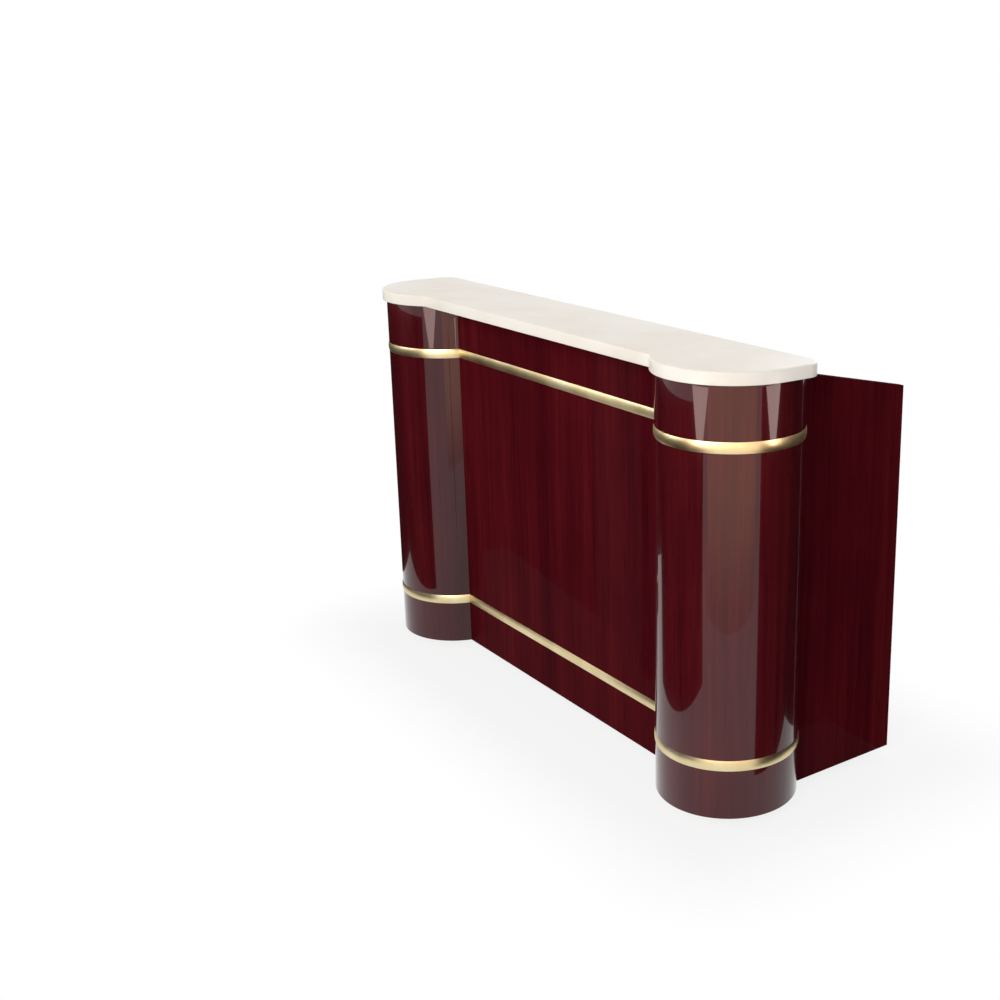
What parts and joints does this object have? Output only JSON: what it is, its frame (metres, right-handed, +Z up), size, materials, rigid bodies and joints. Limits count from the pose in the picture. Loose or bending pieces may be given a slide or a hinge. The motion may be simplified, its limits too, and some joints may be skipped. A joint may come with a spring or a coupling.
{
  "type": "portable bar",
  "caption": "Rolling bar with round corner columns, brass bands and a cream counter; behind it a steel work top, bottle rails, an ice bin, sliding racks and a cupboard.",
  "frame": {"origin": "on the floor, under the middle of the bar's box", "axes": "+X along the bar to the guest's right, +Y towards the bartender, +Z up"},
  "size_m": [1.823, 0.7689, 1.168],
  "materials": {
    "mahogany": "dark red wood-grain laminate, glossy lacquer",
    "board": "plain plywood",
    "brass": "polished",
    "cream_surface": "cream solid surface, satin",
    "stainless": "brushed sheet",
    "foam": "rigid foam",
    "drain_plastic": "moulded",
    "white_board": "white polyethylene board",
    "rack_plastic": "pale blue-grey moulding",
    "zinc": "zinc-plated steel",
    "brake_steel": "black",
    "wheel_rubber": "grey rubber"
  },
  "bodies": {
    "case": {"front_panel": "mahogany", "end_panel_left": "mahogany", "end_panel_right": "mahogany", "divider_left": "mahogany", "divider_right": "mahogany", "base_rail": "mahogany", "cupboard_rail": "mahogany", "column_shell_left": "mahogany", "column_shell_right": "mahogany", "base_deck": "mahogany", "cupboard_top": "mahogany", "rail_cleats": "mahogany", "column_ribs_left": "board", "column_ribs_right": "board", "counter_core": "board", "backsplash_board": "board", "column_band_upper_left": "brass", "column_band_upper_right": "brass", "column_band_lower_left": "brass", "column_band_lower_right": "brass", "front_strip_upper": "brass", "front_strip_lower": "brass", "counter_top": "cream_surface", "backsplash": "stainless", "work_top": "stainless", "well_wall_left": "stainless", "well_wall_right": "stainless", "speed_rail_left": "stainless", "speed_rail_right": "stainless", "ice_bin_liner": "stainless", "rail_screws": "stainless", "rack_runners_middle": "stainless", "rack_runners_right": "stainless", "ice_bin_insulation": "foam", "ice_bin_drain": "drain_plastic", "drain_cap": "drain_plastic", "caster_plates": "zinc", "caster_screws": "zinc"},
    "bin_cover": {"ice_bin_cover": "white_board"},
    "glass_rack_1": {"rack_1": "rack_plastic"},
    "glass_rack_2": {"rack_2": "rack_plastic"},
    "glass_rack_3": {"rack_3": "rack_plastic"},
    "glass_rack_4": {"rack_4": "rack_plastic"},
    "glass_rack_5": {"rack_5": "rack_plastic"},
    "caster_1": {"caster_fork_1": "zinc", "caster_axle_1": "zinc"},
    "wheel_1": {"caster_wheel_1": "wheel_rubber"},
    "caster_2": {"caster_fork_2": "zinc", "caster_axle_2": "zinc"},
    "wheel_2": {"caster_wheel_2": "wheel_rubber"},
    "caster_3": {"caster_fork_3": "zinc", "caster_axle_3": "zinc", "caster_brake_pin_3": "zinc"},
    "wheel_3": {"caster_wheel_3": "wheel_rubber"},
    "brake_3": {"caster_brake_3": "brake_steel"},
    "caster_4": {"caster_fork_4": "zinc", "caster_axle_4": "zinc", "caster_brake_pin_4": "zinc"},
    "wheel_4": {"caster_wheel_4": "wheel_rubber"},
    "brake_4": {"caster_brake_4": "brake_steel"}
  },
  "joints": [
    {"name": "cover_slide", "type": "slide", "parent": "case", "child": "bin_cover", "axis": [1, 0, 0], "range_m": [0, 0.23]},
    {"name": "rack_1_slide", "type": "slide", "parent": "case", "child": "glass_rack_1", "axis": [0, 1, 0], "range_m": [0, 0.45]},
    {"name": "rack_2_slide", "type": "slide", "parent": "case", "child": "glass_rack_2", "axis": [0, 1, 0], "range_m": [0, 0.45]},
    {"name": "rack_3_slide", "type": "slide", "parent": "case", "child": "glass_rack_3", "axis": [0, 1, 0], "range_m": [0, 0.45]},
    {"name": "rack_4_slide", "type": "slide", "parent": "case", "child": "glass_rack_4", "axis": [0, 1, 0], "range_m": [0, 0.45]},
    {"name": "rack_5_slide", "type": "slide", "parent": "case", "child": "glass_rack_5", "axis": [0, 1, 0], "range_m": [0, 0.45]},
    {"name": "swivel_1", "type": "hinge", "parent": "case", "child": "caster_1", "pos_m": [-0.6835, -0.1285, 0.12], "axis": [0, 0, 1], "continuous": true},
    {"name": "roll_1", "type": "hinge", "parent": "caster_1", "child": "wheel_1", "pos_m": [-0.6835, -0.0925, 0.05], "axis": [1, 0, 0], "continuous": true},
    {"name": "swivel_2", "type": "hinge", "parent": "case", "child": "caster_2", "pos_m": [0.6835, -0.1285, 0.12], "axis": [0, 0, 1], "continuous": true},
    {"name": "roll_2", "type": "hinge", "parent": "caster_2", "child": "wheel_2", "pos_m": [0.6835, -0.0925, 0.05], "axis": [1, 0, 0], "continuous": true},
    {"name": "swivel_3", "type": "hinge", "parent": "case", "child": "caster_3", "pos_m": [-0.6835, 0.1595, 0.12], "axis": [0, 0, 1], "continuous": true},
    {"name": "roll_3", "type": "hinge", "parent": "caster_3", "child": "wheel_3", "pos_m": [-0.6835, 0.1955, 0.05], "axis": [1, 0, 0], "continuous": true},
    {"name": "pedal_3", "type": "hinge", "parent": "caster_3", "child": "brake_3", "pos_m": [-0.6835, 0.2055, 0.1077], "axis": [-1, 0, 0], "range_deg": [0, 9]},
    {"name": "swivel_4", "type": "hinge", "parent": "case", "child": "caster_4", "pos_m": [0.6835, 0.1595, 0.12], "axis": [0, 0, 1], "continuous": true},
    {"name": "roll_4", "type": "hinge", "parent": "caster_4", "child": "wheel_4", "pos_m": [0.6835, 0.1955, 0.05], "axis": [1, 0, 0], "continuous": true},
    {"name": "pedal_4", "type": "hinge", "parent": "caster_4", "child": "brake_4", "pos_m": [0.6835, 0.2055, 0.1077], "axis": [-1, 0, 0], "range_deg": [0, 9]}
  ]
}
